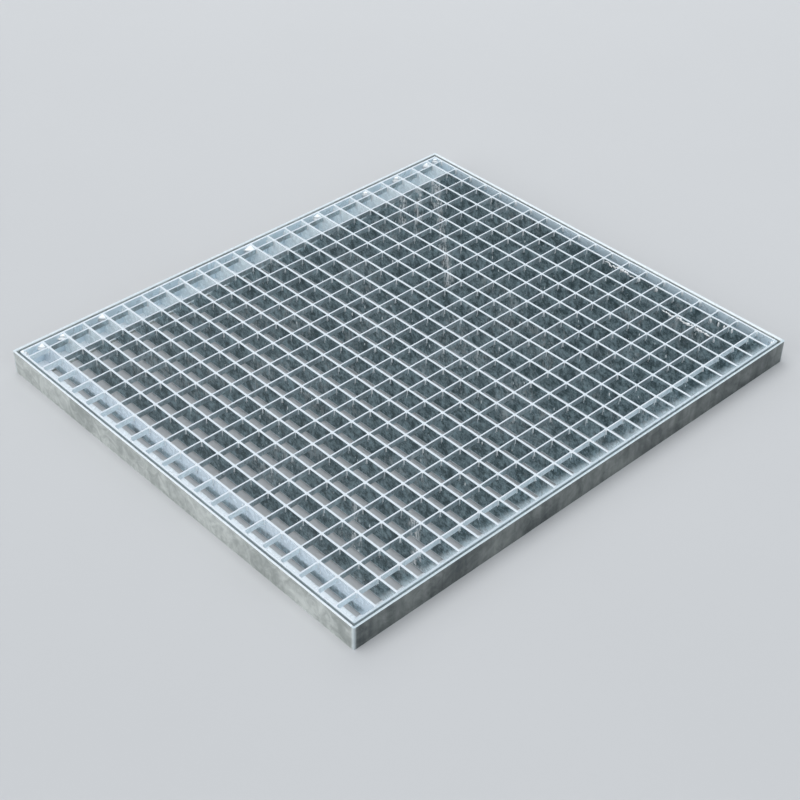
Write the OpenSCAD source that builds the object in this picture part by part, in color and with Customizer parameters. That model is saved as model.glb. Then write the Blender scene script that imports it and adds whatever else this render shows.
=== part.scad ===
// Pressed steel grating panel, lying loose in a mitred frame of steel angle.
//
// X runs along the long side, Y along the short side and +Z is up.
// The origin is the middle of the frame's underside, on the ground.
// Bearing bars stand on edge along Y. Shallower cross bars run along X, flush with
// their tops. Flat edge bands close the panel, which lies on the frame's ledge.

/* [Frame] */
// Outside length of the frame, along X
frame_length = 804; // [600:1:1100]
// Outside width of the frame, along Y
frame_width = 700; // [500:1:1000]
// Height of the angle's upright leg
leg_height = 35; // [34.5:0.5:60]
// Width of the angle's lower leg, the ledge that carries the panel
ledge_width = 35; // [25:0.5:50]
// Thickness of both legs of the angle
angle_thickness = 4; // [3:0.5:4.5]
// Radius on the inner edge of each toe of the angle
toe_radius = 2; // [0.5:0.5:2.5]
// Radius in the root of the angle, between the legs
root_radius = 2; // [0.5:0.5:3]
// Radius on the upright outer corners of the frame, dressed after welding
frame_corner_radius = 2.5; // [0.5:0.5:4]

/* [Panel] */
// Clearance between the frame's upright leg and the edge band, all round
panel_clearance = 3; // [2:0.5:6]
// Thickness of the flat edge band
band_thickness = 3; // [2:0.5:5]
// Radius on the upright outer corners of the edge band
band_corner_radius = 2; // [0.5:0.5:2]

/* [Bearing bars] */
// Depth of a bearing bar, also the depth of the edge band
bearing_depth = 30; // [20:1:30]
// Thickness of a bearing bar
bearing_thickness = 3; // [2:0.5:5]
// Centre distance of the bearing bars
bearing_pitch = 33.33; // [25:0.01:50]
// Centre of the first bearing bar from the outside of the left edge band
bearing_start = 35.5; // [15:0.5:45]

/* [Cross bars] */
// Depth of a cross bar
cross_depth = 8; // [6:1:18]
// Thickness of a cross bar
cross_thickness = 2; // [1.5:0.5:5]
// Centre distance of the cross bars
cross_pitch = 33.33; // [25:0.01:50]
// Centre of the first cross bar from the outside of the front edge band
cross_start = 35; // [15:0.5:45]

/* [Hidden] */
$fn = 48;

// Least clear gap between the last bar and the edge band beyond it
end_gap = 5;
// Number of stretches that the field of bars is drawn in
bays = 4;

// Outside of the panel, and the clear space between its edge bands
panel_length = frame_length - 2 * (angle_thickness + panel_clearance);
panel_width = frame_width - 2 * (angle_thickness + panel_clearance);
clear_length = panel_length - 2 * band_thickness;
clear_width = panel_width - 2 * band_thickness;
// The panel lies on the ledge
panel_z = angle_thickness;
cross_z = panel_z + bearing_depth - cross_depth;
// The root's fillet stays clear of the panel
root_fillet = min(root_radius, panel_clearance);

function count_bars(start, pitch, thickness, length) =
    floor((length - band_thickness - end_gap - thickness / 2 - start) / pitch) + 1;
bearing_count = count_bars(bearing_start, bearing_pitch, bearing_thickness, panel_length);
cross_count = count_bars(cross_start, cross_pitch, cross_thickness, panel_width);

function bearing_x(i) = -panel_length / 2 + bearing_start + i * bearing_pitch;
function cross_y(j) = -panel_width / 2 + cross_start + j * cross_pitch;

// First bearing bar of a bay, and the plane in mid cell where the bay begins
function bay_first(k) = ceil(k * bearing_count / bays);
function bay_begin(k) = k == 0 ? -clear_length / 2
    : k == bays ? clear_length / 2
    : bearing_x(bay_first(k)) - bearing_pitch / 2;

module rounded_rectangle(length, width, radius) {
    square([length - 2 * radius, width], center = true);
    square([length, width - 2 * radius], center = true);
    for (x = [-1, 1], y = [-1, 1])
        translate([x * (length / 2 - radius), y * (width / 2 - radius)])
            circle(radius);
}

// A bar end with one rounded edge: a square of the given size whose far corner is round
module toe(width, height, radius) {
    difference() {
        square([width, height]);
        translate([width - radius, height - radius])
            square(2 * radius);
    }
    translate([width - radius, height - radius])
        circle(radius);
}

// Section of the angle: heel at the origin, legs along +X and +Y
module angle_section() {
    toe(angle_thickness, leg_height, toe_radius);
    toe(ledge_width, angle_thickness, toe_radius);
    difference() {
        square(angle_thickness + root_fillet);
        translate([1, 1] * (angle_thickness + root_fillet))
            circle(root_fillet);
    }
}

// One length of angle along X on the frame's front side, mitred at both ends
module mitred_angle(length, width) {
    intersection() {
        translate([-length / 2, -width / 2, 0])
            rotate([90, 0, 90])
                linear_extrude(length)
                    angle_section();
        linear_extrude(leg_height)
            intersection() {
                rounded_rectangle(length, width, frame_corner_radius);
                polygon([[-length / 2, -width / 2],
                         [length / 2, -width / 2],
                         [length / 2 - ledge_width, -width / 2 + ledge_width],
                         [-length / 2 + ledge_width, -width / 2 + ledge_width]]);
            }
    }
}

module angle_front() {
    color("gainsboro") mitred_angle(frame_length, frame_width);
}

module angle_right() {
    color("gainsboro") rotate(90) mitred_angle(frame_width, frame_length);
}

module angle_back() {
    color("gainsboro") rotate(180) mitred_angle(frame_length, frame_width);
}

module angle_left() {
    color("gainsboro") rotate(270) mitred_angle(frame_width, frame_length);
}

// Edge band over the full length of the panel, on its front side
module long_band() {
    translate([0, 0, panel_z])
        linear_extrude(bearing_depth)
            intersection() {
                rounded_rectangle(panel_length, panel_width, band_corner_radius);
                translate([-panel_length / 2, -panel_width / 2])
                    square([panel_length, band_thickness]);
            }
}

// Edge band between the two long bands, on the panel's right side
module short_band() {
    translate([clear_length / 2, -clear_width / 2, panel_z])
        cube([band_thickness, clear_width, bearing_depth]);
}

module band_front() {
    color("lightsteelblue") long_band();
}

module band_right() {
    color("lightsteelblue") short_band();
}

module band_back() {
    color("lightsteelblue") rotate(180) long_band();
}

module band_left() {
    color("lightsteelblue") rotate(180) short_band();
}

// One bay of the field: its bearing bars, and the cross bars pressed into them
module bay(k) {
    for (i = [bay_first(k) : bay_first(k + 1) - 1])
        translate([bearing_x(i) - bearing_thickness / 2, -clear_width / 2, panel_z])
            cube([bearing_thickness, clear_width, bearing_depth]);
    for (j = [0 : cross_count - 1])
        translate([bay_begin(k), cross_y(j) - cross_thickness / 2, cross_z])
            cube([bay_begin(k + 1) - bay_begin(k), cross_thickness, cross_depth]);
}

module bars_left() {
    color("silver") bay(0);
}

module bars_mid_left() {
    color("silver") bay(1);
}

module bars_mid_right() {
    color("silver") bay(2);
}

module bars_right() {
    color("silver") bay(3);
}

angle_front();
angle_right();
angle_back();
angle_left();
band_front();
band_right();
band_back();
band_left();
bars_left();
bars_mid_left();
bars_mid_right();
bars_right();
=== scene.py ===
"""Finish, zinc and welds of a pressed steel grating panel that lies loose in a mitred angle frame.

The solids come from the frame. This file gives them their galvanised finish, with painted light
and shade in its colours, and adds what hot zinc and welding leave on such a panel: fillets and
drips at the crossings, beads at the bar ends and in the corners, ridges and grit. Lengths are in
metres.
"""

import math

import bmesh
import bpy
import numpy as np
from bpy.props import FloatProperty, FloatVectorProperty, IntProperty, PointerProperty
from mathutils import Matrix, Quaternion, Vector


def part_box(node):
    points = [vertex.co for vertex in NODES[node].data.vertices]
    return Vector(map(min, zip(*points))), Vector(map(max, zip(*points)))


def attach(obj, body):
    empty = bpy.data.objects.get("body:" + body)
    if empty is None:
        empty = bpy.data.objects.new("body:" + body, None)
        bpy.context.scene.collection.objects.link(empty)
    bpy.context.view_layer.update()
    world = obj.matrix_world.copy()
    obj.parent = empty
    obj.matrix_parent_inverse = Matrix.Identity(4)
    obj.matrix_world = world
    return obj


bl_info = {
    "name": "Pressed Steel Grating Panel",
    "version": (1, 0, 0),
    "blender": (4, 5, 0),
    "location": "View3D > Sidebar > Grating",
    "description": "Galvanised finish, zinc and welds for a grating panel in its angle frame",
    "category": "Object",
}

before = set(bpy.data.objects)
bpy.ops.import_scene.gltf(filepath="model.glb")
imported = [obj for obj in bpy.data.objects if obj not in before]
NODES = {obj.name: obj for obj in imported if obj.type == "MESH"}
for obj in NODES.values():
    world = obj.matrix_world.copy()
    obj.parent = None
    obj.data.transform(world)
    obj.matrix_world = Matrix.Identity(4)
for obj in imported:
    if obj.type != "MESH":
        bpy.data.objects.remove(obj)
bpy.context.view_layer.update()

BAYS = ("bars_left", "bars_mid_left", "bars_mid_right", "bars_right")
BANDS = ("band_front", "band_right", "band_back", "band_left")
ANGLES = ("angle_front", "angle_right", "angle_back", "angle_left")
BODY = "root"

X, Y, Z = 0, 1, 2
MM = 0.001

# Plan points between which a trail of painted glints runs over the panel
GLINT_TRAILS = (
    ((0.155, 0.062), (0.345, 0.289)),
    ((0.226, 0.240), (0.279, 0.296)),
    ((0.241, 0.220), (0.306, 0.288)),
    ((0.301, 0.244), (0.347, 0.292)),
    ((-0.318, -0.262), (-0.262, -0.195)),
    ((-0.272, -0.318), (-0.215, -0.250)),
)
# Distance from the middle of a trail at which it has faded out
GLINT_WIDTH = 8 * MM


# Settings


def colour(name, description, default):
    """A colour that a user may change, in linear light."""
    return FloatVectorProperty(
        name=name, description=description, default=default, subtype="COLOR", size=3, min=0, max=1
    )


def length(name, description, default):
    """A length that a user may change."""
    return FloatProperty(name=name, description=description, default=default, unit="LENGTH", min=0)


def amount(name, description, default, least=0):
    """A plain number that a user may change."""
    return FloatProperty(name=name, description=description, default=default, min=least)


def angle(name, description, degrees):
    """An angle that a user may change, given in degrees."""
    return FloatProperty(
        name=name, description=description, default=math.radians(degrees), subtype="ANGLE"
    )


class GratingZinc(bpy.types.PropertyGroup):
    """Sizes of the zinc and the welds."""

    fillet: length(
        "Crossing fillet", "Mean radius of the zinc in the corners of a crossing", 1.5 * MM
    )
    drip_width: length("Drip width", "Half width of a drip below a crossing", 1.15 * MM)
    drip_length: length("Drip length", "Length of the longest drips below the cross bars", 8 * MM)
    bar_weld: length("Bar weld", "Throat of the weld at the end of a bearing bar", 2.6 * MM)
    bar_weld_length: length(
        "Bar weld length", "Length of the weld at the end of a bearing bar", 16 * MM
    )
    heavy_weld: length("Heavy weld", "Throat of the few heavy welds at the back", 10 * MM)
    corner_weld: length(
        "Corner weld", "Throat of the welds in the corners of the edge band", 3.2 * MM
    )
    seam: length("Mitre seam", "Half width of the weld on the frame's mitres", 3 * MM)
    grit: length("Grit", "Largest radius of the grit along the edges", 0.9 * MM)
    seed: IntProperty(name="Seed", description="Start of the random sizes and places", default=7)


class GratingFinish(bpy.types.PropertyGroup):
    """Colours of the galvanised surfaces, with painted light and shade in several of them."""

    # Painted light: this pale colour on the tops makes them lighter than the bars' upright faces;
    # on the first bar's left face it is a painted reflection of the ledge
    lit_rubbed: colour(
        "Rubbed zinc", "Tops of bars and band, and the first bar's left face", (0.73, 0.80, 0.86)
    )
    # Painted reflection of the ledge on the bars' faces near the frame, and painted highlights on
    # bar edges, frame corners, fillets and welds
    bright: colour("Bright zinc", "Faces of the bars near the frame", (0.87, 0.96, 1.0))
    # Painted light: the frame's upward faces nearly white, far lighter than its upright faces
    ledge: colour("Ledge", "Upward faces of the frame", (0.92, 0.96, 0.99))
    band: colour("Band zinc", "Upright faces of the edge band", (0.80, 0.91, 0.98))
    # Painted shade: the bars' upright faces darker than their tops; also the darker end of the
    # painted shade on the frame's rim and the band's top
    shaded_slate: colour("Slate zinc", "Upright faces of the bars", (0.41, 0.54, 0.59))
    # Painted shade: the darkest patches on the bars' upright faces
    shade: colour("Dull zinc", "Dull patches on the bars", (0.075, 0.12, 0.135))
    frame_light: colour("Frame zinc", "Upright faces of the frame", (0.77, 0.80, 0.77))
    frame_dull: colour("Frame patches", "Dull patches on the frame", (0.40, 0.43, 0.41))
    # Painted shade: the frame's front face much darker than its left face
    frame_shade: colour("Frame front", "Front face of the frame", (0.055, 0.07, 0.075))
    dross: colour("Dross", "White lumps, ridges and flecks of dross", (0.95, 0.97, 0.98))


class GratingStage(bpy.types.PropertyGroup):
    """Floor, light and camera."""

    floor: colour("Floor", "Colour of the floor", (0.58, 0.59, 0.60))
    key: amount("Key", "Strength of the main light", 1.78)
    key_turn: angle("Key direction", "Where the main light stands, from +X towards +Y", 135)
    key_height: angle("Key height", "Height of the main light over the horizon", 80)
    key_spread: angle("Key softness", "Apparent width of the main light", 60)
    side: amount("Side", "Strength of the light from the left", 0.72)
    side_turn: angle(
        "Side direction", "Where the light from the left stands, from +X towards +Y", 172
    )
    side_height: angle("Side height", "Height of the light from the left over the horizon", 24)
    side_spread: angle("Side softness", "Apparent width of the light from the left", 40)
    fill: amount("Fill", "Strength of the light in front", 0.45)
    fill_colour: colour("Fill colour", "Colour of the light in front", (0.85, 0.94, 1.0))
    fill_turn: angle("Fill direction", "Where the light in front stands, from +X towards +Y", -95)
    fill_height: angle("Fill height", "Height of the light in front over the horizon", 28)
    fill_spread: angle("Fill softness", "Apparent width of the light in front", 50)
    sky: amount("Sky", "Strength of the light from all round", 0.34)
    sky_colour: colour("Sky colour", "Colour of the light from all round", (0.86, 0.92, 1.0))
    back: amount("Back light", "Power of the soft light behind", 14.5)
    back_height: angle("Back height", "Height of the soft light behind over the horizon", 40)
    back_length: length("Back length", "Length of the soft light behind", 3.0)
    back_width: length("Back width", "Height of the soft light behind, across its length", 2.2)
    view_turn: angle("View direction", "Where the camera looks, from +X towards +Y", 46.440)
    view_height: angle("View height", "How far the camera looks down", 38.655)
    view_roll: angle("View roll", "Roll of the camera about its line of sight", 0.764)
    view_distance: length("View distance", "From the camera to the point it looks at", 2.1188)
    view_point: FloatVectorProperty(
        name="View point",
        description="Point that the camera looks at",
        default=(-0.0684, -0.0693, 0.017),
        subtype="XYZ",
        unit="LENGTH",
    )
    lens: amount("Lens", "Focal length in millimetres", 71.3, least=1)


# Measures of the solids


def triangles(node):
    """Corners of a node's triangles, as an array of triangles by 3 by 3."""
    mesh = NODES[node].data
    places = np.empty(len(mesh.vertices) * 3, np.float32)
    mesh.vertices.foreach_get("co", places)
    loops = np.empty(len(mesh.loops), np.int32)
    mesh.loops.foreach_get("vertex_index", loops)
    return places.astype(float).reshape(-1, 3)[loops].reshape(-1, 3, 3)


def upright_faces(corners, axis, side, foot):
    """Places along an axis of the faces that look to one side of it and stand on a height.

    A triangle counts if its normal lies along the axis and its lowest corner is at the foot.
    """
    normals = np.cross(corners[:, 1] - corners[:, 0], corners[:, 2] - corners[:, 0])
    normals /= np.linalg.norm(normals, axis=1, keepdims=True)
    looks = normals[:, axis] * side > 0.99
    stands = abs(corners[:, :, Z].min(axis=1) - foot) < 0.1 * MM
    return np.unique(corners[looks & stands][:, 0, axis].round(5))


class Bars:
    """Where the bars of one bay are: three levels, and both faces of every bar."""

    def __init__(self, node):
        corners = triangles(node)
        self.foot, self.cross_foot, self.top = np.unique(corners[:, :, Z].round(5))
        self.left = upright_faces(corners, X, -1, self.foot)
        self.right = upright_faces(corners, X, 1, self.foot)
        self.front = upright_faces(corners, Y, -1, self.cross_foot)
        self.back = upright_faces(corners, Y, 1, self.cross_foot)


# Surfaces


def tube_mesh(name, groups):
    """A mesh of closed tubes.

    Each group is an array of tubes by rings by corners by 3. A ring is joined to the next by
    quads, corner to corner, and one face closes each end of a tube.
    """
    places, faces, start = [], [], 0
    for points in groups:
        tubes, rings, corners = points.shape[:3]
        index = start + np.arange(tubes * rings * corners).reshape(tubes, rings, corners)
        near, far = index[:, :-1], index[:, 1:]
        quads = np.stack([near, np.roll(near, -1, 2), np.roll(far, -1, 2), far], -1)
        faces += quads.reshape(-1, 4).tolist()
        faces += index[:, 0, ::-1].tolist() + index[:, -1].tolist()
        places.append(points.reshape(-1, 3))
        start += index.size
    mesh = bpy.data.meshes.new(name)
    mesh.from_pydata(np.concatenate(places).tolist(), [], faces)
    return mesh


def add_piece(name, groups, material):
    """A piece made of tubes, with its faces turned outwards, that rides on the panel's body.

    material is the name of the material.
    """
    mesh = tube_mesh(name, groups)
    shell = bmesh.new()
    shell.from_mesh(mesh)
    bmesh.ops.recalc_face_normals(shell, faces=shell.faces)
    shell.to_mesh(mesh)
    shell.free()
    mesh.shade_smooth()
    mesh.materials.append(bpy.data.materials[material])
    piece = bpy.data.objects.new(name, mesh)
    bpy.context.scene.collection.objects.link(piece)
    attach(piece, BODY)
    return piece


def corner_section(steps, fullness):
    """Section of a bead in a corner of unit size, from one wall to the other.

    It blends a hollow quarter circle about the far corner of the unit square with a full one
    about the near corner, and closes a little way behind the walls.
    """
    turn = np.linspace(0, math.pi / 2, steps)
    hollow = np.stack([1 - np.cos(turn), 1 - np.sin(turn)], -1)
    full = np.stack([np.sin(turn), np.cos(turn)], -1)
    behind = np.array([[-0.15, -0.15]])
    return np.concatenate([hollow + fullness * (full - hollow), behind])


def corner_beads(corners, facing, heights, throats, fullness, steps=4):
    """Upright beads in corners.

    corners and facing are arrays of beads by 2, heights and throats of beads by rings. The
    section of a ring is the corner section times its throat, laid out towards the open side.
    """
    section = corner_section(steps, fullness)
    flat = corners[:, None, None] + facing[:, None, None] * throats[..., None, None] * section
    height = np.broadcast_to(heights[..., None, None], flat.shape[:-1] + (1,))
    return np.concatenate([flat, height], -1)


def wall_beads(path, outward, across, half_widths, rises, steps=5):
    """Half-round beads on a wall.

    A ring is the point of the path, plus across times the half width times the cosine, plus
    outward times the rise times the sine of an angle that runs over a half turn. path is an
    array of beads by rings by 3; outward and across are directions, one for each bead.
    """
    turn = np.linspace(0, math.pi, steps)
    sideways = across[:, None, None] * (half_widths[..., None] * np.cos(turn))[..., None]
    upward = outward[:, None, None] * (rises[..., None] * np.sin(turn))[..., None]
    return path[:, :, None] + sideways + upward


def swell(rings):
    """Half an ellipse from end to end of that many rings, which leaves a small end to close."""
    along = np.linspace(-1, 1, rings)
    return np.sqrt(1 - along**2 * 0.98)


def grid(*values):
    """All combinations of the values, as columns."""
    return [column.ravel() for column in np.meshgrid(*values, indexing="ij")]


# Materials


class Value:
    """A socket of a shader, as a number: arithmetic with it adds Math nodes."""

    def __init__(self, shader, socket):
        self.shader = shader
        self.socket = socket

    def math(self, operation, first, second):
        return self.shader.add("ShaderNodeMath", {"operation": operation}, {0: first, 1: second})

    def __add__(self, other):
        return self.math("ADD", self, other)

    def __radd__(self, other):
        return self.math("ADD", other, self)

    def __sub__(self, other):
        return self.math("SUBTRACT", self, other)

    def __rsub__(self, other):
        return self.math("SUBTRACT", other, self)

    def __mul__(self, other):
        return self.math("MULTIPLY", self, other)

    def __rmul__(self, other):
        return self.math("MULTIPLY", other, self)

    def larger(self, other):
        return self.math("MAXIMUM", self, other)

    def step(self, low, high):
        """A smooth step from 0 at low to 1 at high."""
        return self.shader.add(
            "ShaderNodeMapRange",
            {"interpolation_type": "SMOOTHSTEP"},
            {"Value": self, "From Min": low, "From Max": high},
        )


class Shader:
    """A material under way."""

    def __init__(self, name):
        self.material = bpy.data.materials.new(name)
        self.material.use_nodes = True
        self.tree = self.material.node_tree
        self.surface = self.tree.nodes["Principled BSDF"]
        self.place = self.add("ShaderNodeTexCoord", output="Object")

    def add(self, kind, settings=None, sockets=None, output=0):
        """Adds a node: its settings first, then the values or links of its sockets."""
        node = self.tree.nodes.new(kind)
        for key, value in (settings or {}).items():
            setattr(node, key, value)
        for key, value in (sockets or {}).items():
            self.feed(node.inputs[key], value)
        return Value(self, node.outputs[output])

    def feed(self, socket, value):
        if isinstance(value, Value):
            self.tree.links.new(value.socket, socket)
        else:
            socket.default_value = value

    def finish(self, **sockets):
        """Feeds the surface's sockets, named with underscores for spaces."""
        for key, value in sockets.items():
            self.feed(self.surface.inputs[key.replace("_", " ")], value)
        return self.material

    def mix(self, share, first, second):
        """A colour between two colours."""
        return self.add(
            "ShaderNodeMix",
            {"data_type": "RGBA"},
            {0: share, 6: self.solid(first), 7: self.solid(second)},
            output=2,
        )

    @staticmethod
    def solid(value):
        return value if isinstance(value, Value) else (*value, 1)

    def stretched(self, sideways, upward):
        """The place, scaled along the ground and upwards, for patterns that run down a face."""
        return self.add(
            "ShaderNodeVectorMath",
            {"operation": "MULTIPLY"},
            {0: self.place, 1: (sideways, sideways, upward)},
        )

    def noise(self, size, detail=2, rough=0.5, distortion=0, place=None):
        """Cloudy noise about 0.5, with patches of a size in metres."""
        return self.add(
            "ShaderNodeTexNoise",
            sockets={
                "Vector": place or self.place,
                "Scale": 1 / size,
                "Detail": detail,
                "Roughness": rough,
                "Distortion": distortion,
            },
        )

    def spangle(self, size):
        """A random number for each crystal of zinc, with crystals of a size in metres."""
        return self.add(
            "ShaderNodeTexVoronoi",
            sockets={"Vector": self.place, "Scale": 1 / size},
            output="Color",
        )

    def along(self, axis):
        """One coordinate of the place."""
        return self.add("ShaderNodeSeparateXYZ", sockets={0: self.place}, output="XYZ"[axis])

    def facing(self, axis):
        """1 on faces that look along an axis, either way, and 0 on faces across it."""
        normal = self.add("ShaderNodeNewGeometry", output="Normal")
        share = self.add("ShaderNodeSeparateXYZ", sockets={0: normal}, output="XYZ"[axis])
        return (share * share).step(0.3, 0.7)

    def upward(self):
        """1 on faces that look up, and 0 on upright ones."""
        normal = self.add("ShaderNodeNewGeometry", output="Normal")
        height = self.add("ShaderNodeSeparateXYZ", sockets={0: normal}, output="Z")
        return height.step(0.35, 0.8)

    def bump(self, height, strength, depth):
        return self.add(
            "ShaderNodeBump",
            sockets={"Height": height, "Strength": strength, "Distance": depth},
            output="Normal",
        )


def ledge_reflection(shader):
    """Where the bars' faces carry a painted reflection of the frame's pale ledge: two masks from 0
    to 1.

    The first is the left face of the first bearing bar, which looks at the ledge. The second is
    all of the painted reflection: that face, dimmer towards its foot, the ends of the bearing bars
    in front and at the back, cut off on a slant that leans with the height, the cross bars' ends
    on the left and the first one's front face. The other faces of the cross bars have 0.35 of it,
    as painted light.
    """
    slant = 0.9
    left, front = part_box("angle_left")[1].x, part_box("angle_front")[1].y
    back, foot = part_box("angle_back")[0].y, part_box("band_front")[0].z
    x, y, z = (shader.along(axis) for axis in (X, Y, Z))
    haze = (shader.noise(13 * MM, detail=2, rough=0.5) - 0.5) * (12 * MM)
    climb = (z - foot) * slant
    column = x.step(left + 8 * MM, left + 7 * MM)
    beside = column * (0.25 + 0.75 * z.step(foot + 8 * MM, foot + 14 * MM))
    ends = 1 - (y + climb + haze).step(front - 3 * MM, front + 12 * MM)
    ends = ends.larger((y + climb + haze).step(back - 4 * MM, back + 3 * MM))
    cross = 1 - x.step(left + 5 * MM, left + 6 * MM)
    cross = cross.larger(1 - y.step(front + 6.5 * MM, front + 7.5 * MM))
    along_y = shader.facing(X)
    bearing = beside.larger(ends) * along_y
    return column * along_y, bearing + cross.larger(0.35) * (1 - along_y)


def trail(shader, start, end):
    """A straight trail of painted glints over the panel, from one plan point to another, as soft
    spots on faces.

    Across the line the mask falls smoothly from 1 to 0 at the trail's width. It fades out over
    15 mm at either end, two thirds of that beyond the point.
    """
    x, y = shader.along(X), shader.along(Y)
    run = math.dist(start, end)
    way_x, way_y = (end[0] - start[0]) / run, (end[1] - start[1]) / run
    across = (x - start[0]) * way_y - (y - start[1]) * way_x
    onward = (x - start[0]) * way_x + (y - start[1]) * way_y
    beside = (across * across).step(GLINT_WIDTH * GLINT_WIDTH, 0)
    return beside * onward.step(-10 * MM, 5 * MM) * onward.step(run + 10 * MM, run - 5 * MM)


def glint_trails(shader):
    """All the trails together."""
    trails = trail(shader, *GLINT_TRAILS[0])
    for start, end in GLINT_TRAILS[1:]:
        trails = trails.larger(trail(shader, start, end))
    return trails


def edge_highlights(shader):
    """Painted highlights on the rounded edges along the top and the foot of the bars."""
    foot, top = (corner.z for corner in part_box("bars_left"))
    z = shader.along(Z)
    lower = 1 - z.step(foot + 0.7 * MM, foot + 1.5 * MM)
    upper = z.step(top - 1.2 * MM, top - 0.5 * MM)
    return lower * 0.65 + upper * 0.6


def bar_zinc(finish):
    """Bars: faces in painted shade with clouds, runs, flecks, pale spots and painted glints, a
    painted reflection near the frame, painted edge highlights, and tops lighter as painted light.
    """
    shader = Shader("galvanised_bars")
    clouds = shader.noise(13 * MM, detail=6, rough=0.75, distortion=0.3)
    swells = shader.noise(11 * MM, detail=1)
    runs = shader.noise(1, detail=3, rough=0.55, place=shader.stretched(240, 40))
    crystals = shader.spangle(6 * MM)
    grain = shader.noise(1.1 * MM, detail=3, rough=0.6)
    specks = shader.noise(3.2 * MM, detail=4, rough=0.7)
    patches = shader.noise(60 * MM, detail=2)
    flecks = specks.step(0.6, 0.72) * patches.step(0.5, 0.68)
    smears = shader.noise(1, detail=3, rough=0.6, place=shader.stretched(420, 60))
    blots = shader.noise(7 * MM, detail=3, rough=0.6)
    tone = (
        (clouds - 0.5) * 2.8
        + (specks - 0.5) * 1.5
        + (runs - 0.5) * 0.3
        + (crystals - 0.5) * 0.3
        + 0.42
    )
    column, near = ledge_reflection(shader)
    # Painted reflection of the ledge: pale colours for the first bar's left face and the other
    # faces near the frame
    pale = shader.mix(column, finish.bright, finish.lit_rubbed)
    # Painted glints along the trails, and pale spots in some patches
    spot_places = glint_trails(shader) + patches.step(0.5, 0.7) * 0.35
    glints_and_pale_spots = smears.step(0.4, 0.55) * blots.step(0.4, 0.54) * spot_places
    # Painted shade: the upright faces darker than the tops, mottled between the two colours
    upright = shader.mix(tone.step(0, 1), finish.shade, finish.shaded_slate)
    # Painted highlights along the edges, and flecks
    highlights_and_flecks = edge_highlights(shader).larger(flecks * (0.5 - near * 0.5))
    upright = shader.mix(highlights_and_flecks, upright, finish.bright)
    # Painted reflection of the ledge mixed onto the upright faces near the frame
    upright = shader.mix(near * (1.1 - 0.2 * tone.step(0.9, 0)), upright, pale)
    # Painted glints and pale spots, in the colour of dross
    upright = shader.mix(glints_and_pale_spots, upright, finish.dross)
    top = shader.mix((grain - 0.5) * 0.5 + (clouds - 0.5) * 0.5, finish.lit_rubbed, finish.shaded_slate)
    # Painted light: the tops lighter than the upright faces
    base = shader.mix(shader.upward(), upright, top)
    rough = 0.38 + (clouds - 0.5) * 0.3 + (crystals - 0.5) * 0.1 + flecks * 0.25 - near * 0.12
    height = swells + runs * 0.3 + flecks * 0.4
    return shader.finish(
        Base_Color=base,
        Metallic=(0.6 - near * 0.55) * (1 - glints_and_pale_spots * 0.8),
        Roughness=rough,
        Normal=shader.bump(height, 0.3, 0.4 * MM),
    )


def band_zinc(finish):
    """Edge band: smooth, bluish and a little cloudy, with light runs, and painted shade on top in
    front.
    """
    shader = Shader("galvanised_band")
    clouds = shader.noise(35 * MM, detail=3, rough=0.55, distortion=0.4)
    runs = shader.noise(1, detail=2, place=shader.stretched(180, 22))
    swells = shader.noise(14 * MM, detail=1)
    crystals = shader.spangle(7 * MM)
    tone = (clouds - 0.5) * 0.8 + (runs - 0.5) * 0.4 + (crystals - 0.5) * 0.15 + 0.05
    upright = shader.mix(tone.step(0, 1), finish.band, finish.shaded_slate)
    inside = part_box("band_front")[1].y
    # Painted shade on the band's top in front
    front = shader.along(Y).step(inside + MM, inside)
    top = shader.mix((clouds - 0.5) * 0.5 + front * 0.5, finish.lit_rubbed, finish.shaded_slate)
    base = shader.mix(shader.upward(), upright, top)
    rough = 0.3 + (clouds - 0.5) * 0.25 + (crystals - 0.5) * 0.1
    height = swells + runs * 0.3
    return shader.finish(
        Base_Color=base,
        Metallic=0.2,
        Roughness=rough,
        Normal=shader.bump(height, 0.3, 0.4 * MM),
    )


def corner_highlights(shader):
    """Painted highlights on the frame's upright corners."""
    low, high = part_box("angle_left")[0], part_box("angle_right")[1]
    x, y = shader.along(X), shader.along(Y)
    wide, narrow = 5 * MM, 0.5 * MM
    beyond_x = x.step(low.x + wide, low.x + narrow).larger(x.step(high.x - wide, high.x - narrow))
    beyond_y = y.step(low.y + wide, low.y + narrow).larger(y.step(high.y - wide, high.y - narrow))
    return beyond_x * beyond_y


def rim_shade(shader):
    """How much painted shade darkens the frame's upper rim against the ledge, above all at the
    front and back.
    """
    low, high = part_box("angle_front")[0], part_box("angle_back")[1]
    inside = 4.5 * MM
    y, z = shader.along(Y), shader.along(Z)
    front = y.step(low.y + inside + MM, low.y + inside)
    back = y.step(high.y - inside - MM, high.y - inside)
    return z.step(high.z / 2, high.z / 2 + MM) * (0.3 + front * 0.35 + back * 0.15)


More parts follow.
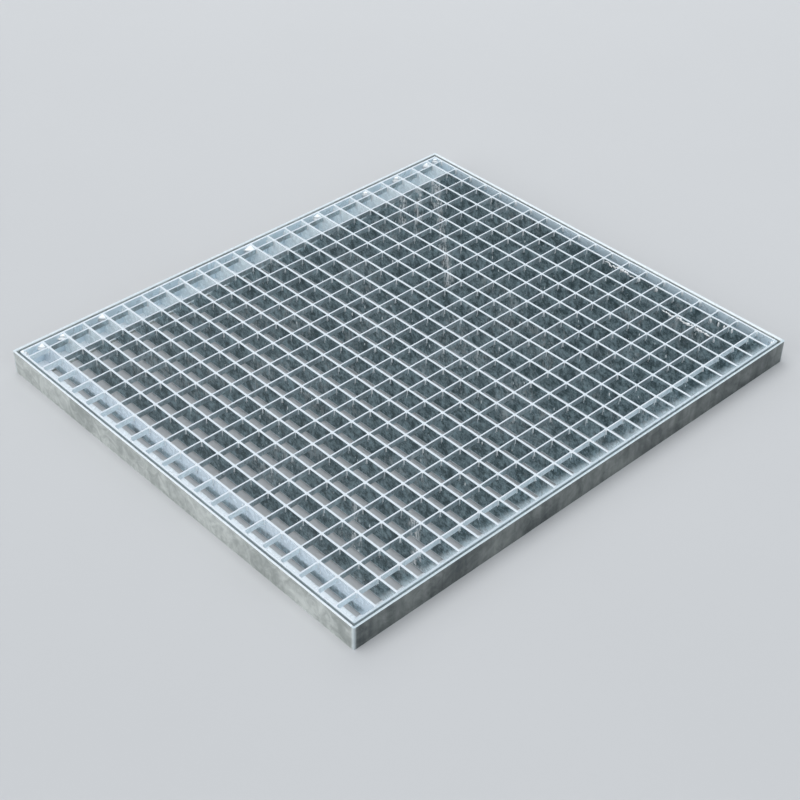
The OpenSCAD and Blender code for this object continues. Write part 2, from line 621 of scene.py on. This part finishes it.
def angle_zinc(finish):
    """Frame: warm grey cloudy upright faces, painted shade in front, painted highlights on the
    corners, and upward faces lighter as painted light.
    """
    shader = Shader("galvanised_angle")
    clouds = shader.noise(17 * MM, detail=4, rough=0.6, distortion=1.2)
    drifts = shader.noise(80 * MM, detail=2, rough=0.5)
    swells = shader.noise(16 * MM, detail=1)
    streaks = shader.noise(1, detail=3, rough=0.5, place=shader.stretched(90, 9))
    crystals = shader.spangle(8 * MM)
    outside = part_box("angle_front")[0].y
    front = 1 - shader.along(Y).step(outside + 0.5 * MM, outside + 1.5 * MM)
    tone = (
        (clouds - 0.5) * 1.6
        + (drifts - 0.5) * 1.3
        + (streaks - 0.5) * 0.3
        + (crystals - 0.5) * 0.12
        + 0.5
    )
    upright = shader.mix(tone.step(0, 1), finish.frame_dull, finish.frame_light)
    soft = (clouds - 0.5) * 0.8 + (drifts - 0.5) * 1.1 + (streaks - 0.5) * 0.6 + 0.46
    # Painted shade: the front face much darker than the others
    shaded = shader.mix(soft.step(0, 1) * 0.85, finish.frame_shade, finish.frame_dull)
    upright = shader.mix(front, upright, shaded)
    # Painted highlights on the frame's upright corners
    upright = shader.mix(corner_highlights(shader) * 0.65, upright, finish.bright)
    # Painted shade darkens the upper rim, above all at the front and back
    top = shader.mix((clouds - 0.5) * 0.5 + rim_shade(shader), finish.ledge, finish.shaded_slate)
    # Painted light: the upward faces far lighter than the upright ones
    base = shader.mix(shader.upward(), upright, top)
    rough = 0.38 + (clouds - 0.5) * 0.3 + (crystals - 0.5) * 0.1 - shader.upward() * 0.1
    height = swells + clouds * 0.2 + streaks * 0.3
    return shader.finish(
        Base_Color=base,
        Metallic=0.55 - shader.upward() * 0.45,
        Roughness=rough,
        Normal=shader.bump(height, 0.3, 0.5 * MM),
    )


def fresh_zinc_sheen(finish):
    """Fillets and welds: zinc that froze as it ran, pale as painted highlights."""
    shader = Shader("fresh_zinc_sheen")
    clouds = shader.noise(4 * MM, detail=3, rough=0.6)
    grain = shader.noise(0.8 * MM, detail=2)
    # Painted highlights: fillets, welds and flecks in pale colours that stand in for the light
    # they catch
    base = shader.mix(clouds.step(0.3, 0.6), finish.bright, finish.dross)
    return shader.finish(
        Base_Color=base,
        Metallic=0.1,
        Roughness=0.36 + (clouds - 0.5) * 0.3,
        Normal=shader.bump(clouds * 0.8 + grain * 0.3, 0.4, 0.4 * MM),
    )


def dross_zinc(finish):
    """Dross: rough white zinc with ash in it."""
    shader = Shader("dross")
    clouds = shader.noise(2.5 * MM, detail=4, rough=0.65)
    grain = shader.noise(0.6 * MM, detail=2)
    base = shader.mix(clouds.step(0.25, 0.42), finish.lit_rubbed, finish.dross)
    return shader.finish(
        Base_Color=base,
        Metallic=0.0,
        Roughness=0.5 + (clouds - 0.5) * 0.3,
        Normal=shader.bump(clouds + grain * 0.4, 0.6, 0.5 * MM),
    )


def dress(names, material):
    """Gives carried-over solids their finish."""
    for name in names:
        mesh = NODES[name].data
        mesh.materials.clear()
        mesh.materials.append(material)


# Zinc and welds


def crossing_zinc(bars, zinc, random):
    """Fillets in the four corners of every crossing, and a drip under it on both sides.

    A fillet's throat grows downwards, from a rounded shoulder at the top to the underside of
    the cross bar, where it closes. A drip narrows downwards and ends in a small drop.
    """
    sides = [(bars.left, -1), (bars.right, 1)]
    flats = [(bars.front, -1), (bars.back, 1)]
    corners, facing = [], []
    for walls, look_x in sides:
        for edges, look_y in flats:
            x, y = grid(walls, edges)
            corners.append(np.stack([x, y], -1))
            facing.append(np.full((x.size, 2), (look_x, look_y), float))
    corners, facing = np.concatenate(corners), np.concatenate(facing)
    depth = bars.top - bars.cross_foot
    share = np.array([0.004, 0.05, 0.35, 0.7, 0.98, 1.12])
    growth = np.array([0.4, 0.75, 0.8, 0.9, 1.4, 0.25])
    size = zinc.fillet * random.uniform(0.75, 1.3, (len(corners), 1))
    wobble = random.uniform(0.9, 1.12, (len(corners), len(share)))
    fillets = corner_beads(
        corners,
        facing,
        np.broadcast_to(bars.top - depth * share, wobble.shape),
        size * growth * wobble,
        fullness=0.35,
    )
    middle = (bars.front + bars.back) / 2
    drips = []
    for walls, look_x in sides:
        x, y = grid(walls, middle)
        drips.append(drips_on_wall(x, y, look_x, bars.cross_foot + 0.8 * MM, zinc, random))
    return [fillets, *drips]


def drips_on_wall(x, y, look_x, top, zinc, random):
    """Drips on faces that look along X.

    The half width falls with the root of what is left of the length, and swells once more
    just above the end.
    """
    along = np.array([0, 0.25, 0.5, 0.72, 0.88, 1.0])
    shape = np.array([1.0, 0.86, 0.62, 0.5, 0.56, 0.12])
    reach = zinc.drip_length * (0.35 + 0.65 * random.random((x.size, 1)) ** 1.5)
    size = random.uniform(0.7, 1.2, (x.size, 1))
    drop = top - reach * along
    lean = (random.random((x.size, 1)) - 0.5) * 1.2 * MM * along
    path = np.stack(np.broadcast_arrays(x[:, None], y[:, None] + lean, drop), -1)
    outward = np.broadcast_to((look_x, 0.0, 0.0), (x.size, 3))
    across = np.broadcast_to((0.0, 1.0, 0.0), (x.size, 3))
    half_width = zinc.drip_width * size * shape
    return wall_beads(path, outward, across, half_width, 0.75 * half_width)


def upright_welds(corners, facing, middles, lengths, throats, random, rings=12, rough=0.0):
    """Full beads in upright corners, with a ripple for each run of the rod.

    rough adds random steps from ring to ring, as a share of the throat.
    """
    along = np.linspace(-1, 1, rings)
    heights = middles[:, None] + lengths[:, None] / 2 * along
    ripple = 1 + 0.12 * np.sin(9 * along + random.uniform(0, 6.3, (len(corners), 1)))
    ripple = ripple + rough * random.uniform(-1, 1, (len(corners), rings))
    return corner_beads(
        corners, facing, heights, throats[:, None] * swell(rings) * ripple, fullness=0.7, steps=6
    )


def lumps(places, outward, across, lengths, widths, rises, rings=7):
    """Low lumps on a surface, that lie along the third direction.

    The half width and the rise both follow half an ellipse from one end to the other.
    """
    along = np.linspace(-1, 1, rings)
    onward = np.cross(outward, across)
    path = places[:, None] + onward[:, None] * (lengths[:, None] / 2 * along)[..., None]
    shape = swell(rings)
    return wall_beads(path, outward, across, widths[:, None] * shape, rises[:, None] * shape)


class GratingOperator(bpy.types.Operator):
    """What the operators share."""

    bl_options = {"REGISTER", "UNDO"}

    @staticmethod
    def random(context, stream):
        """Random numbers of its own for each kind of piece."""
        return np.random.default_rng((context.scene.grating_zinc.seed, stream))


class GRATING_OT_finish(GratingOperator):
    """Give the frame, the edge band and the bars their galvanised finish"""

    bl_idname = "grating.finish"
    bl_label = "Galvanised Finish"

    def execute(self, context):
        finish = context.scene.grating_finish
        dress(BAYS, bar_zinc(finish))
        dress(BANDS, band_zinc(finish))
        dress(ANGLES, angle_zinc(finish))
        fresh_zinc_sheen(finish)
        dross_zinc(finish)
        return {"FINISHED"}


class GRATING_OT_crossings(GratingOperator):
    """Add the zinc fillets and drips at the crossings of the bars"""

    bl_idname = "grating.crossings"
    bl_label = "Crossing Zinc"

    def execute(self, context):
        random = self.random(context, 1)
        for bay in BAYS:
            groups = crossing_zinc(Bars(bay), context.scene.grating_zinc, random)
            name = bay.replace("bars", "crossing_zinc")
            add_piece(name, groups, "fresh_zinc_sheen")
        return {"FINISHED"}


class GRATING_OT_bar_welds(GratingOperator):
    """Add the welds and the zinc where the bars meet the edge band"""

    bl_idname = "grating.bar_welds"
    bl_label = "Bar End Welds"

    # Bearing bars whose weld at the back took much more zinc than the others
    heavy = (0, 1, 3, 11, 15, 18, 20, 22)

    def execute(self, context):
        zinc = context.scene.grating_zinc
        random = self.random(context, 2)
        bays = [Bars(bay) for bay in BAYS]
        left = np.concatenate([bars.left for bars in bays])
        right = np.concatenate([bars.right for bars in bays])
        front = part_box("band_front")[1].y
        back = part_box("band_back")[0].y
        bars = bays[0]
        for name, wall, look, heavy in (("front", front, 1, ()), ("back", back, -1, self.heavy)):
            groups = self.bearing_ends(left, right, wall, look, heavy, bars, zinc, random)
            add_piece(f"bar_welds_{name}", groups, "fresh_zinc_sheen")
        for name, wall, look in (
            ("left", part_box("band_left")[1].x, 1),
            ("right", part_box("band_right")[0].x, -1),
        ):
            groups = self.cross_ends(wall, look, bars, zinc, random)
            add_piece(f"bar_welds_{name}", groups, "fresh_zinc_sheen")
        heaviest = np.array([left[i] for i in self.heavy])
        self.add_heavy_lumps(heaviest, back, bars, zinc, random)
        return {"FINISHED"}

    @staticmethod
    def bearing_ends(left, right, wall, look, heavy, bars, zinc, random):
        """A weld on the left of each bearing bar's end, and a fillet of zinc on its right."""
        count = len(left)
        throats = zinc.bar_weld * random.uniform(0.75, 1.15, count)
        lengths = zinc.bar_weld_length * random.uniform(0.8, 1.2, count)
        below_top, shift = 12 * MM, 1 * MM
        middles = np.full(count, bars.top - below_top) + random.uniform(-1, 1, count) * shift
        welds = upright_welds(
            np.stack([left, np.full(count, wall)], -1),
            np.full((count, 2), (-1.0, look)),
            middles,
            lengths,
            throats,
            random,
        )
        share = np.array([0.01, 0.06, 0.4, 0.8, 0.97])
        growth = np.array([0.3, 0.8, 1.0, 1.0, 0.4])
        fillets = corner_beads(
            np.stack([right, np.full(count, wall)], -1),
            np.full((count, 2), (1.0, look)),
            np.broadcast_to(bars.top - (bars.top - bars.foot) * share, (count, len(share))),
            zinc.fillet * random.uniform(0.7, 1.2, (count, 1)) * growth,
            fullness=0.1,
        )
        return [welds, fillets]

    @staticmethod
    def cross_ends(wall, look, bars, zinc, random):
        """A fillet of zinc on both sides of each cross bar's end."""
        edges = np.concatenate([bars.front, bars.back])
        look_y = np.repeat([-1.0, 1.0], len(bars.front))
        count = len(edges)
        share = np.array([0.01, 0.08, 0.5, 0.95, 1.15])
        growth = np.array([0.4, 0.9, 1.0, 1.3, 0.3])
        heights = bars.top - (bars.top - bars.cross_foot) * share
        return [
            corner_beads(
                np.stack([np.full(count, wall), edges], -1),
                np.stack([np.full(count, float(look)), look_y], -1),
                np.broadcast_to(heights, (count, len(share))),
                1.3 * zinc.fillet * random.uniform(0.6, 1.5, (count, 1)) * growth,
                fullness=0.3,
            )
        ]

    @staticmethod
    def add_heavy_lumps(x, wall, bars, zinc, random):
        """White lumps of zinc on the heavy welds, in three corners of the band, and on one top.

        They are full beads like the welds, with a rougher outline. The last is a low blob on
        top of the band's left back corner.
        """
        count = len(x)
        shape = {"rings": 16, "rough": 0.18}
        welds = upright_welds(
            np.stack([x, np.full(count, wall)], -1),
            np.full((count, 2), (-1.0, -1.0)),
            bars.top - random.uniform(6, 8, count) * MM,
            random.uniform(10, 14, count) * MM,
            zinc.heavy_weld * random.uniform(0.75, 1.2, count),
            random,
            **shape,
        )
        left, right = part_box("band_left")[1].x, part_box("band_right")[0].x
        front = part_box("band_front")[1].y
        below_top = 6 * MM
        corners = upright_welds(
            np.array([(left, wall), (right, wall), (right, front)]),
            np.array([(1.0, -1.0), (-1.0, -1.0), (-1.0, 1.0)]),
            np.full(3, bars.top - below_top),
            random.uniform(7, 10, 3) * MM,
            zinc.heavy_weld * random.uniform(0.55, 0.7, 3),
            random,
            **shape,
        )
        outer_left, outer_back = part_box("band_back")[0].x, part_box("band_back")[1].y
        inset, sunk = 3 * MM, 0.2 * MM
        blob_length, blob_half_width, blob_rise = 6 * MM, 2.4 * MM, 1.1 * MM
        blob = lumps(
            np.array([(outer_left + inset, outer_back - inset, bars.top - sunk)]),
            np.array([(0.0, 0.0, 1.0)]),
            np.array([(1.0, 0.0, 0.0)]),
            np.array([blob_length]),
            np.array([blob_half_width]),
            np.array([blob_rise]),
        )
        add_piece("weld_lumps", [welds, corners, blob], "dross")


class GRATING_OT_corner_welds(GratingOperator):
    """Add the welds in the corners of the edge band and on the frame's mitres"""

    bl_idname = "grating.corner_welds"
    bl_label = "Corner Welds"

    def execute(self, context):
        zinc = context.scene.grating_zinc
        random = self.random(context, 3)
        signs = np.array([(-1.0, -1.0), (1.0, -1.0), (1.0, 1.0), (-1.0, 1.0)])
        low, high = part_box("band_left"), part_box("band_right")
        inside = np.array([high[0].x, high[1].y])
        foot, top = low[0].z, low[1].z
        raised, shorter = 1 * MM, 4 * MM
        count = len(signs)
        bands = upright_welds(
            signs * inside,
            -signs,
            np.full(count, (foot + top) / 2 + raised),
            np.full(count, top - foot - shorter),
            zinc.corner_weld * random.uniform(0.9, 1.1, count),
            random,
            rings=20,
        )
        add_piece("band_welds", [bands], "fresh_zinc_sheen")
        self.add_frame_seams(signs, inside, foot, zinc)
        return {"FINISHED"}

    @staticmethod
    def add_frame_seams(signs, inside, ledge, zinc):
        """A dressed bead along each mitre of the ledge, from the band to the ledge's edge.

        Its half width follows half an ellipse along the mitre, with a sine ripple on it, and its
        rise is 0.3 of that.
        """
        count, rings = len(signs), 24
        overlap, sunk = 2 * MM, 0.1 * MM
        outside = np.array(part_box("angle_front")[1].xy)
        outside[1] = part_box("angle_right")[1].y
        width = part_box("angle_front")[1].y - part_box("angle_front")[0].y
        start = inside - overlap
        end = outside - width + overlap
        along = np.linspace(0, 1, rings)[:, None]
        route = (start * (1 - along) + end * along)[None] * signs[:, None]
        path = np.concatenate([route, np.full((count, rings, 1), ledge - sunk)], -1)
        across = np.stack([signs[:, 1], -signs[:, 0], np.zeros(count)], -1) / math.sqrt(2)
        outward = np.broadcast_to((0.0, 0.0, 1.0), (count, 3))
        ripple = 1 + 0.1 * np.sin(np.linspace(0, 40, rings))
        half_width = np.broadcast_to(zinc.seam * swell(rings) * ripple, (count, rings))
        seams = wall_beads(path, outward, across, half_width, 0.3 * half_width)
        add_piece("frame_seams", [seams], "fresh_zinc_sheen")


class GRATING_OT_dross(GratingOperator):
    """Add the ridges, flecks and grit of dross"""

    bl_idname = "grating.dross"
    bl_label = "Dross"

    # Bearing bar, and the crossings between which a ridge of dross runs along its left face
    ridges = ((22, 6.1, 7.9), (21, 1.1, 3.8))
    # Bearing bar, place between the crossings, and millimetres below the top of single lumps
    single_lumps = (
        (22, 0.8, 5),
        (22, 1.2, 5),
        (22, 1.5, 6),
        (22, 1.9, 7),
        (21, 0.95, 8),
        (22, 4.9, 5),
        (22, 5.9, 4),
    )
    # Flecks on either side of the bearing bars
    flecks = 260

    def execute(self, context):
        zinc = context.scene.grating_zinc
        random = self.random(context, 4)
        bays = [Bars(bay) for bay in BAYS]
        left = np.concatenate([bars.left for bars in bays])
        right = np.concatenate([bars.right for bars in bays])
        bars = bays[0]
        rows = (bars.front + bars.back) / 2
        groups = [self.ridge(left[i], rows, a, b, bars.top, random) for i, a, b in self.ridges]
        groups.append(self.chosen_lumps(left, rows, bars.top, random))
        add_piece("dross_ridges", groups, "dross")
        flecks = self.scattered(left, right, rows, bars, random)
        add_piece("dross_flecks", flecks, "fresh_zinc_sheen")
        self.add_grit(zinc, random)
        return {"FINISHED"}

    @staticmethod
    def ridge(wall, rows, first, last, top, random):
        """A jagged ridge along Y: its height and size follow smoothed random steps."""
        rings = 60
        numbers = np.arange(len(rows))
        y = np.interp(np.linspace(first, last, rings), numbers, rows)
        drift = np.convolve(random.normal(0, 1, rings + 4), np.ones(5) / 5, "valid")
        size = 0.3 + 1.2 * random.random(rings) ** 1.5
        z = top - 4 * MM + 2.2 * MM * drift
        path = np.stack([np.full(rings, wall), y, z], -1)[None]
        rise = (1.8 * MM * size * swell(rings))[None]
        outward = np.array([(-1.0, 0.0, 0.0)])
        across = np.array([(0.0, 0.0, 1.0)])
        return wall_beads(path, outward, across, 1.2 * rise, rise)

    def chosen_lumps(self, left, rows, top, random):
        """Single lumps of dross on left faces."""
        count = len(self.single_lumps)
        numbers = np.arange(len(rows))
        places = np.array(
            [(left[i], np.interp(j, numbers, rows), top - d * MM) for i, j, d in self.single_lumps]
        )
        return lumps(
            places,
            np.broadcast_to((-1.0, 0.0, 0.0), (count, 3)),
            np.broadcast_to((0.0, 1.0, 0.0), (count, 3)),
            random.uniform(5, 9, count) * MM,
            random.uniform(1.4, 2.6, count) * MM,
            random.uniform(1.0, 1.8, count) * MM,
        )

    def scattered(self, left, right, rows, bars, random):
        """Small upright flecks on both faces of the bearing bars."""
        groups = []
        for walls, look in ((left, -1.0), (right, 1.0)):
            x = random.choice(walls, self.flecks)
            y = random.uniform(rows[0], rows[-1], self.flecks)
            z = random.uniform(bars.foot + 4 * MM, bars.top - 5 * MM, self.flecks)
            size = 0.4 + random.random(self.flecks) ** 3
            groups.append(
                lumps(
                    np.stack([x, y, z], -1),
                    np.broadcast_to((look, 0.0, 0.0), (self.flecks, 3)),
                    np.broadcast_to((0.0, 1.0, 0.0), (self.flecks, 3)),
                    5 * MM * size,
                    0.9 * MM * size,
                    0.5 * MM * size,
                    rings=5,
                )
            )
        return groups

    @staticmethod
    def add_grit(zinc, random):
        """Grit along the top of the right edge band."""
        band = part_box("band_right")
        count, inset, sunk = 90, 1 * MM, 0.1 * MM
        y = random.uniform(band[0].y, band[1].y, count)
        x = random.uniform(band[0].x + inset, band[1].x, count)
        size = zinc.grit * (0.3 + 0.7 * random.random(count) ** 2)
        places = np.stack([x, y, np.full(count, band[1].z - sunk)], -1)
        grains = lumps(
            places,
            np.broadcast_to((0.0, 0.0, 1.0), (count, 3)),
            np.broadcast_to((1.0, 0.0, 0.0), (count, 3)),
            3 * size,
            0.8 * size,
            0.6 * size,
            rings=5,
        )
        add_piece("edge_grit", [grains], "dross")


# Stage


def floor_mesh(reach, rise, rings=40, spokes=96):
    """A floor that curls up at its rim.

    The height is 0 out to six tenths of the reach, and then follows a smooth step.
    """
    radius = np.linspace(0, reach, rings)
    share = np.clip((radius / reach - 0.6) / 0.4, 0, 1)
    height = rise * share**2 * (3 - 2 * share)
    turn = np.linspace(0, 2 * math.pi, spokes, endpoint=False)
    x = radius[:, None] * np.cos(turn)
    y = radius[:, None] * np.sin(turn)
    places = np.stack([x, y, np.broadcast_to(height[:, None], x.shape)], -1)
    index = np.arange(rings * spokes).reshape(rings, spokes)
    near, far = index[:-1], index[1:]
    quads = np.stack([near, far, np.roll(far, -1, 1), np.roll(near, -1, 1)], -1)
    mesh = bpy.data.meshes.new("floor")
    mesh.from_pydata(places.reshape(-1, 3).tolist(), [], quads.reshape(-1, 4).tolist())
    mesh.shade_smooth()
    return mesh


def floor_paint(stage):
    """Plain pale floor with a faint cloudiness."""
    shader = Shader("floor")
    clouds = shader.noise(0.5, detail=3)
    pale = tuple(stage.floor)
    dim = tuple(0.96 * channel for channel in pale)
    return shader.finish(
        Base_Color=shader.mix(clouds, dim, pale),
        Roughness=0.9,
        Specular_IOR_Level=0.1,
    )


def add_light(name, kind, turn, height, distance=3.0, **settings):
    """A lamp that shines on the middle of the panel from a direction."""
    light = bpy.data.lights.new(name, kind)
    for key, value in settings.items():
        setattr(light, key, value)
    flat = math.cos(height)
    towards = Vector((math.cos(turn) * flat, math.sin(turn) * flat, math.sin(height)))
    lamp = bpy.data.objects.new(name, light)
    lamp.location = distance * towards
    lamp.rotation_mode = "QUATERNION"
    lamp.rotation_quaternion = towards.to_track_quat("Z", "Y")
    bpy.context.scene.collection.objects.link(lamp)


def add_camera(stage):
    """A camera that looks at a point from a direction, with a roll about its line of sight."""
    data = bpy.data.cameras.new("camera")
    data.lens = stage.lens
    data.sensor_width = 36
    flat = math.cos(stage.view_height)
    forward = Vector(
        (
            math.cos(stage.view_turn) * flat,
            math.sin(stage.view_turn) * flat,
            -math.sin(stage.view_height),
        )
    )
    camera = bpy.data.objects.new("camera", data)
    camera.location = Vector(stage.view_point) - stage.view_distance * forward
    camera.rotation_mode = "QUATERNION"
    level = forward.to_track_quat("-Z", "Y")
    camera.rotation_quaternion = Quaternion(forward, -stage.view_roll) @ level
    bpy.context.scene.collection.objects.link(camera)
    bpy.context.scene.camera = camera


class GRATING_OT_stage(GratingOperator):
    """Add the floor, the light and the camera"""

    bl_idname = "grating.stage"
    bl_label = "Stage"

    def execute(self, context):
        stage = context.scene.grating_stage
        mesh = floor_mesh(reach=12, rise=2)
        mesh.materials.append(floor_paint(stage))
        floor = bpy.data.objects.new("floor", mesh)
        context.scene.collection.objects.link(floor)
        add_light(
            "key",
            "SUN",
            stage.key_turn,
            stage.key_height,
            energy=stage.key,
            angle=stage.key_spread,
        )
        add_light(
            "side",
            "SUN",
            stage.side_turn,
            stage.side_height,
            energy=stage.side,
            angle=stage.side_spread,
        )
        add_light(
            "fill",
            "SUN",
            stage.fill_turn,
            stage.fill_height,
            color=stage.fill_colour,
            energy=stage.fill,
            angle=stage.fill_spread,
        )
        add_light(
            "back",
            "AREA",
            stage.view_turn,
            stage.back_height,
            energy=stage.back,
            shape="RECTANGLE",
            size=stage.back_length,
            size_y=stage.back_width,
        )
        self.light_world(context, stage)
        add_camera(stage)
        context.scene.view_settings.view_transform = "Standard"
        return {"FINISHED"}

    @staticmethod
    def light_world(context, stage):
        """Even light from all round."""
        world = bpy.data.worlds.new("sky")
        world.use_nodes = True
        sky = world.node_tree.nodes["Background"].inputs
        sky["Color"].default_value = (*stage.sky_colour, 1)
        sky["Strength"].default_value = stage.sky
        context.scene.world = world


class GRATING_PT_panel(bpy.types.Panel):
    """Lists the steps that dress the grating panel"""

    bl_label = "Grating"
    bl_space_type = "VIEW_3D"
    bl_region_type = "UI"
    bl_category = "Grating"

    def draw(self, context):
        for operator in OPERATORS:
            self.layout.operator(operator.bl_idname)
        for group in (context.scene.grating_zinc, context.scene.grating_finish):
            for name in group.bl_rna.properties.keys():
                if name not in ("rna_type", "name"):
                    self.layout.prop(group, name)


OPERATORS = (
    GRATING_OT_finish,
    GRATING_OT_crossings,
    GRATING_OT_bar_welds,
    GRATING_OT_corner_welds,
    GRATING_OT_dross,
    GRATING_OT_stage,
)
GROUPS = {
    "grating_zinc": GratingZinc,
    "grating_finish": GratingFinish,
    "grating_stage": GratingStage,
}


def register():
    for kind in (*GROUPS.values(), *OPERATORS, GRATING_PT_panel):
        bpy.utils.register_class(kind)
    for name, kind in GROUPS.items():
        setattr(bpy.types.Scene, name, PointerProperty(type=kind))


def unregister():
    for name in GROUPS:
        delattr(bpy.types.Scene, name)
    for kind in reversed((*GROUPS.values(), *OPERATORS, GRATING_PT_panel)):
        bpy.utils.unregister_class(kind)


def main():
    register()
    bpy.ops.grating.finish()
    bpy.ops.grating.crossings()
    bpy.ops.grating.bar_welds()
    bpy.ops.grating.corner_welds()
    bpy.ops.grating.dross()
    bpy.ops.grating.stage()


if __name__ == "__main__":
    main()
